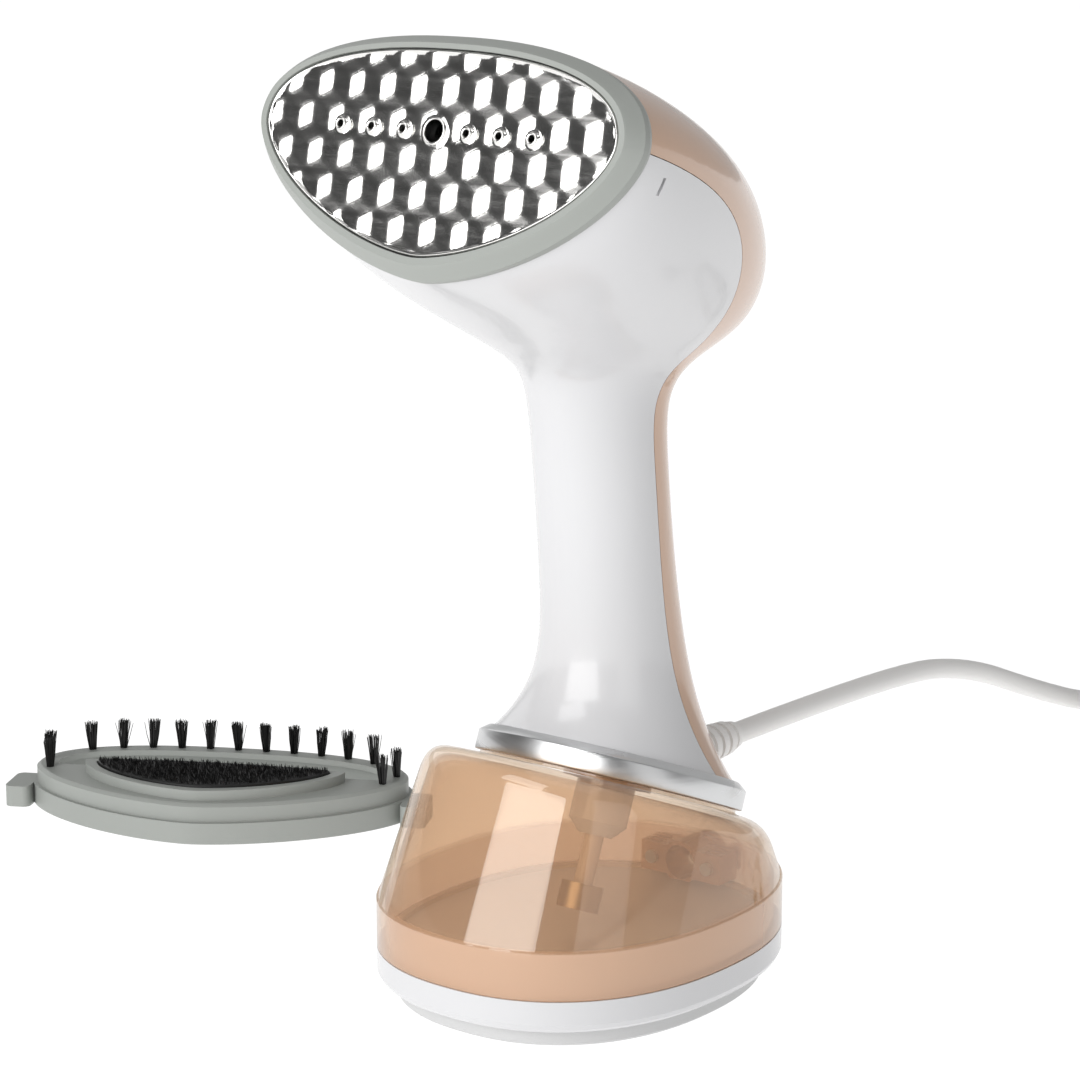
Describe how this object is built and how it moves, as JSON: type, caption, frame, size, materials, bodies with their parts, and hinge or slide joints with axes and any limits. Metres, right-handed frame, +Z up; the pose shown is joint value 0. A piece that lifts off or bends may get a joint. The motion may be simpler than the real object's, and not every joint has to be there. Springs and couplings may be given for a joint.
{
  "type": "garment steamer",
  "caption": "Hand-held garment steamer with an embossed steam plate, standing on its detachable translucent water tank, with a mains lead and a loose bristle brush attachment.",
  "frame": {"origin": "centre of the foot, on the surface that it stands on", "axes": "+Z up, -Y the way the steam plate faces, X across the head"},
  "size_m": [0.3924, 0.4516, 0.2871],
  "materials": {
    "white_gloss": "glossy injection-moulded",
    "peach_gloss": "glossy injection-moulded",
    "peach_clear": "translucent glossy",
    "grey_matte": "fine satin",
    "foot_grey": "satin",
    "dark_rubber": "soft matte",
    "clear_silicone": "soft satin",
    "mirror_steel": "pressed, mirror bright",
    "brushed_silver": "brushed along the ring",
    "cast_aluminium": "as cast",
    "steel": "zinc plated",
    "brass": "machined",
    "board_green": "solder mask",
    "black_plastic": "satin",
    "black_fibre": "nylon bristle and pile",
    "lens": "clear tinted",
    "cord_white": "smooth PVC"
  },
  "bodies": {
    "tank_unit": {"water_tank": "peach_clear", "tank_base": "white_gloss", "foot_ring": "foot_grey", "grip_pads": "dark_rubber", "base_seal": "clear_silicone", "neck_seal": "clear_silicone", "tank_valve": "white_gloss", "check_ball": "steel", "dip_tube": "clear_silicone", "suction_filter": "brass", "filler_housing": "peach_clear", "housing_screws": "steel", "plug_hinge_pin": "peach_gloss"},
    "filler_cover": {"filler_plug": "clear_silicone"},
    "handset": {"front_shell": "white_gloss", "back_shell": "peach_gloss", "trim_ring": "brushed_silver", "collar_plate": "white_gloss", "collar_screws": "steel", "inlet_spigot": "white_gloss", "head_rim": "grey_matte", "boiler_carrier": "black_plastic", "plate_gasket": "dark_rubber", "steam_plate": "mirror_steel", "steam_nozzles": "mirror_steel", "boiler_block": "cast_aluminium", "boiler_cover": "cast_aluminium", "heating_element": "steel", "thermostat": "black_plastic", "thermal_fuse": "steel", "water_pump": "black_plastic", "pump_bracket": "white_gloss", "inlet_hose": "clear_silicone", "outlet_hose": "clear_silicone", "control_board": "board_green", "board_components": "black_plastic", "steam_switch": "black_plastic", "mains_wires": "black_plastic", "heater_leads": "black_plastic", "steam_button_spring": "steel", "display_board": "board_green", "power_button_spring": "steel", "latch_spring": "steel", "spring_seat": "white_gloss", "power_cord": "cord_white", "cord_coil": "cord_white", "cord_tie": "black_plastic", "cord_gland": "cord_white", "cord_clamp": "white_gloss", "mains_plug": "cord_white", "plug_pins": "brass", "small_screws": "steel"},
    "steam_key": {"steam_button": "white_gloss"},
    "power_key": {"power_button": "white_gloss", "indicator_lens": "lens"},
    "steam_lock": {"lock_slider": "white_gloss"},
    "tank_catch": {"tank_latch": "grey_matte"},
    "brush": {"brush_frame": "grey_matte", "lint_pad": "black_fibre", "bristle_tufts": "black_fibre"}
  },
  "joints": [
    {"name": "tank_release", "type": "slide", "parent": "tank_unit", "child": "handset", "axis": [0, 0.3778, 0.9259], "range_m": [0, 0.055]},
    {"name": "filler_flap", "type": "hinge", "parent": "tank_unit", "child": "filler_cover", "pos_m": [0.0094, 0.0675, 0.0232], "axis": [0, 0, -1], "range_deg": [0, 100]},
    {"name": "steam_press", "type": "slide", "parent": "handset", "child": "steam_key", "axis": [0, -1, 0], "range_m": [0, 0.002], "stiffness_N_per_m": 400, "springref_m": -0.001, "deforming": ["steam_button_spring"]},
    {"name": "power_press", "type": "slide", "parent": "handset", "child": "power_key", "axis": [0, -1, 0], "range_m": [0, 0.0015], "stiffness_N_per_m": 400, "springref_m": -0.001, "deforming": ["power_button_spring"]},
    {"name": "lock_slide", "type": "slide", "parent": "handset", "child": "steam_lock", "axis": [0, 0.1323, -0.9912], "range_m": [0, 0.005]},
    {"name": "latch_press", "type": "slide", "parent": "handset", "child": "tank_catch", "axis": [0, -0.982, -0.1891], "range_m": [0, 0.002], "stiffness_N_per_m": 400, "springref_m": -0.001, "deforming": ["latch_spring"]},
    {"name": "brush_lift", "type": "slide", "parent": "tank_unit", "child": "brush", "axis": [0, 0, 1], "range_m": [0, 0.12]}
  ]
}
